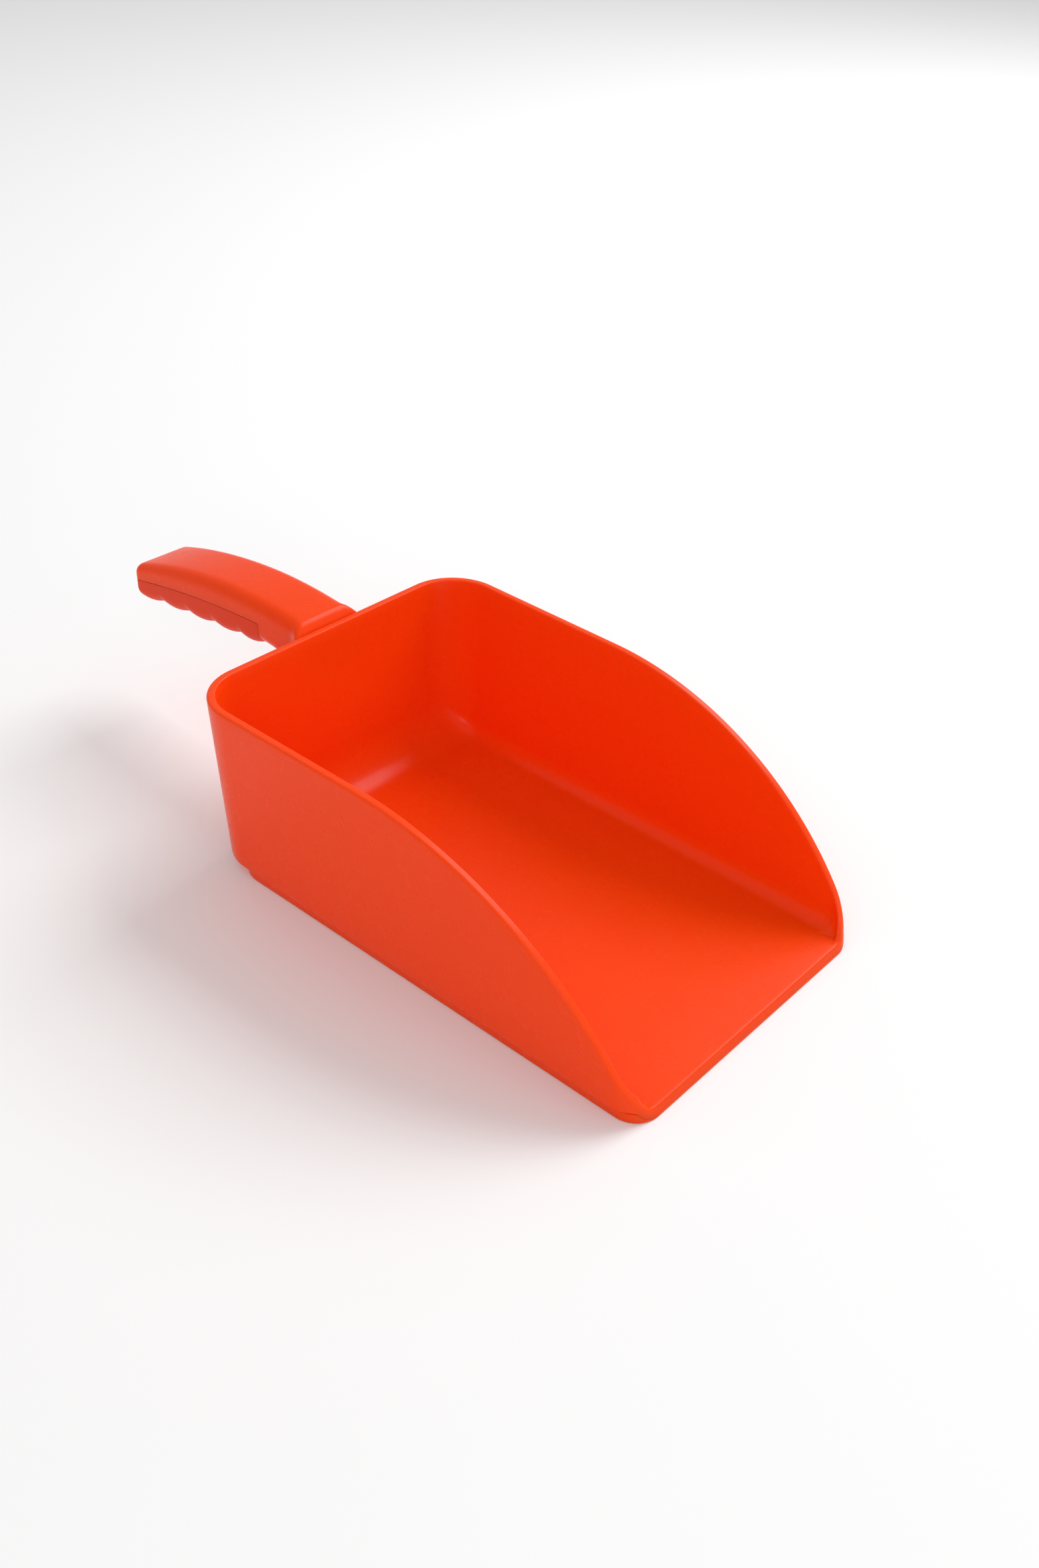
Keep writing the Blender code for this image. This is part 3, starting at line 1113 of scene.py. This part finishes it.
@dataclass
class Scoop:
    """The whole scoop: the main moulding, and the shell that closes the handle's underside."""

    bucket: Bucket = field(default_factory=Bucket)
    rub_width: float = 0.0022

    @property
    def handle(self) -> Handle:
        """The handle that fits this bucket."""
        return Handle(self.bucket)

    def build(self) -> tuple[bpy.types.Object, bpy.types.Object]:
        """Models both mouldings.

        Returns:
            The main moulding and the grip shell.
        """
        handle = self.handle
        upper = handle.build()
        grip = copy_of(upper, "grip_underside")
        half_gap = handle.joint_gap / 2
        seat = handle.below_joint("grip_seat", half_gap, handle.root_reach)
        combine(upper, Cut.TAKE_AWAY, seat)
        start = handle.root_reach + handle.joint_gap
        region = handle.below_joint("grip_region", -half_gap, start)
        combine(grip, Cut.KEEP_SHARED, region)
        body = self.bucket.build()
        body.name = "scoop_moulding"
        combine(body, Cut.JOIN, upper)
        return body, grip

    def rubbed(self, point: Vector) -> float:
        """Works out how rubbed the rim and the lip are.

        Args:
            point: Place on the scoop.

        Returns:
            0 away from the rim, up to 1 on it.
        """
        if point.y > self.bucket.back_y + self.bucket.least_radius:
            return 0.0
        below = self.bucket.rim_height(point.y) - point.z
        return 1.0 - ease(below / self.bucket.steepness(point.y) / self.rub_width)

    def gripped(self, point: Vector) -> float:
        """How rubbed the grip is at a point of its finger grooves, from 0 to 1."""
        above = point.z - self.handle.grooves(point.y - self.bucket.back_y)
        return 1.0 - ease(above / self.rub_width)

    def dress(
        self,
        piece: bpy.types.Object,
        material: bpy.types.Material,
        rule: Callable[[Vector], float],
    ) -> None:
        """Gives a piece its shading, its material and its edge attribute.

        Args:
            piece: Piece to dress.
            material: Its material.
            rule: Function from a point to how rubbed the piece is there.
        """
        mesh = piece.data
        edge = mesh.attributes.new(EDGE_ATTRIBUTE, "FLOAT", "POINT")
        for vertex in mesh.vertices:
            edge.data[vertex.index].value = rule(vertex.co)
        mesh.materials.clear()
        mesh.materials.append(material)
        mesh.shade_smooth()
        mesh.set_sharp_from_angle(angle=SHARP_ANGLE)


# ---------------------------------------------------------------- studio


@dataclass(frozen=True)
class SoftLight:
    """A large square light panel aimed at a point."""

    name: str
    place: tuple[float, float, float]
    aim: tuple[float, float, float]
    size: float
    power: float

    def build(self) -> None:
        """Sets up the light."""
        panel = bpy.data.lights.new(self.name, "AREA")
        panel.shape = "SQUARE"
        panel.size = self.size
        panel.energy = self.power
        lamp = bpy.data.objects.new(self.name, panel)
        lamp.location = self.place
        towards = Vector(self.aim) - Vector(self.place)
        lamp.rotation_euler = towards.to_track_quat("-Z", "Y").to_euler()
        bpy.context.scene.collection.objects.link(lamp)


@dataclass(frozen=True)
class Camera:
    """The camera, placed by its bearing, height angle and tilt."""

    place: tuple[float, float, float] = (-0.4039, -0.3989, 0.4306)
    bearing: float = -51.32
    height_angle: float = 35.95
    tilt: float = -3.54
    lens: float = 34.81
    shift: tuple[float, float] = (-0.02195, 0.01411)
    sensor_width: float = 36.0
    nearest: float = 0.01

    def build(self) -> None:
        """Sets up the camera and makes it the scene's own."""
        lens = bpy.data.cameras.new("studio_camera")
        lens.lens = self.lens
        lens.sensor_width = self.sensor_width
        lens.sensor_fit = "AUTO"
        lens.shift_x, lens.shift_y = self.shift
        lens.clip_start = self.nearest
        camera = bpy.data.objects.new("studio_camera", lens)
        bearing, height = math.radians(self.bearing), math.radians(self.height_angle)
        backwards = Vector(
            (
                math.sin(bearing) * math.cos(height),
                -math.cos(bearing) * math.cos(height),
                math.sin(height),
            )
        )
        turn = backwards.to_track_quat("Z", "Y").to_matrix().to_4x4()
        tilt = Matrix.Rotation(math.radians(-self.tilt), 4, "Z")
        camera.matrix_world = Matrix.Translation(self.place) @ turn @ tilt
        bpy.context.scene.collection.objects.link(camera)
        bpy.context.scene.camera = camera


@dataclass(frozen=True)
class Studio:
    """Pale floor, even surroundings, soft lights and camera."""

    camera: Camera = Camera()
    floor_half: float = 4.0
    floor_drop: float = 0.0002
    floor_shade: float = 0.93
    floor_roughness: float = 0.9
    floor_gloss: float = 0.1
    surround: float = 0.58
    lights: tuple[SoftLight, ...] = (
        SoftLight("key_panel", (1.7, -0.2, 1.8), (0.0, -0.02, 0.03), 1.4, 38.0),
        SoftLight("front_panel", (-1.5, -1.4, 1.2), (0.0, -0.02, 0.03), 1.0, 9.0),
    )

    def floor(self) -> None:
        """Lays the floor, which is staged and no part of the scoop."""
        bm = bmesh.new()
        bmesh.ops.create_grid(bm, x_segments=1, y_segments=1, size=self.floor_half)
        bmesh.ops.translate(bm, verts=bm.verts[:], vec=(0.0, 0.0, -self.floor_drop))
        floor = add_piece("studio_floor", bm)
        material = bpy.data.materials.new("studio_paper")
        material.use_nodes = True
        shader = material.node_tree.nodes["Principled BSDF"]
        shader.inputs["Base Color"].default_value = (*([self.floor_shade] * 3), 1.0)
        shader.inputs["Roughness"].default_value = self.floor_roughness
        shader.inputs["Specular IOR Level"].default_value = self.floor_gloss
        floor.data.materials.append(material)

    def build(self) -> None:
        """Sets the whole studio up."""
        self.camera.build()
        self.floor()
        for light in self.lights:
            light.build()
        world = bpy.data.worlds.new("studio_surround")
        world.use_nodes = True
        back = world.node_tree.nodes["Background"]
        back.inputs["Color"].default_value = (1.0, 1.0, 1.0, 1.0)
        back.inputs["Strength"].default_value = self.surround
        scene = bpy.context.scene
        scene.world = world
        scene.view_settings.view_transform = "Standard"


# ---------------------------------------------------------------- scene


def place_piece(piece: bpy.types.Object, node: str) -> None:
    """Puts a finished piece on the frame in place of a CAD node.

    Args:
        piece: The finished piece.
        node: Name of the node that it stands for.
    """
    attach(piece, BODY)
    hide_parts(node)
    low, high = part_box(node)
    LOG.info(
        "%s: %d faces, stands for %s (%.0f x %.0f x %.0f mm)",
        piece.name,
        len(piece.data.polygons),
        node,
        *(1000 * (high - low)),
    )


def main() -> None:
    """Builds the studio and the scoop."""
    logging.basicConfig(level=logging.INFO, format="%(message)s")
    Studio().build()
    effects = MouldEffects()
    groups = {group.name: group for group in (effects.grain(), effects.flow(), effects.wear())}
    scoop = Scoop()
    body, grip = scoop.build()
    scoop.dress(body, BODY_FINISH.material(groups), scoop.rubbed)
    scoop.dress(grip, GRIP_FINISH_WITH_PAINTED_SHADE.material(groups), scoop.gripped)
    place_piece(body, "scoop_body")
    place_piece(grip, "grip_shell")


if __name__ == "__main__":
    main()
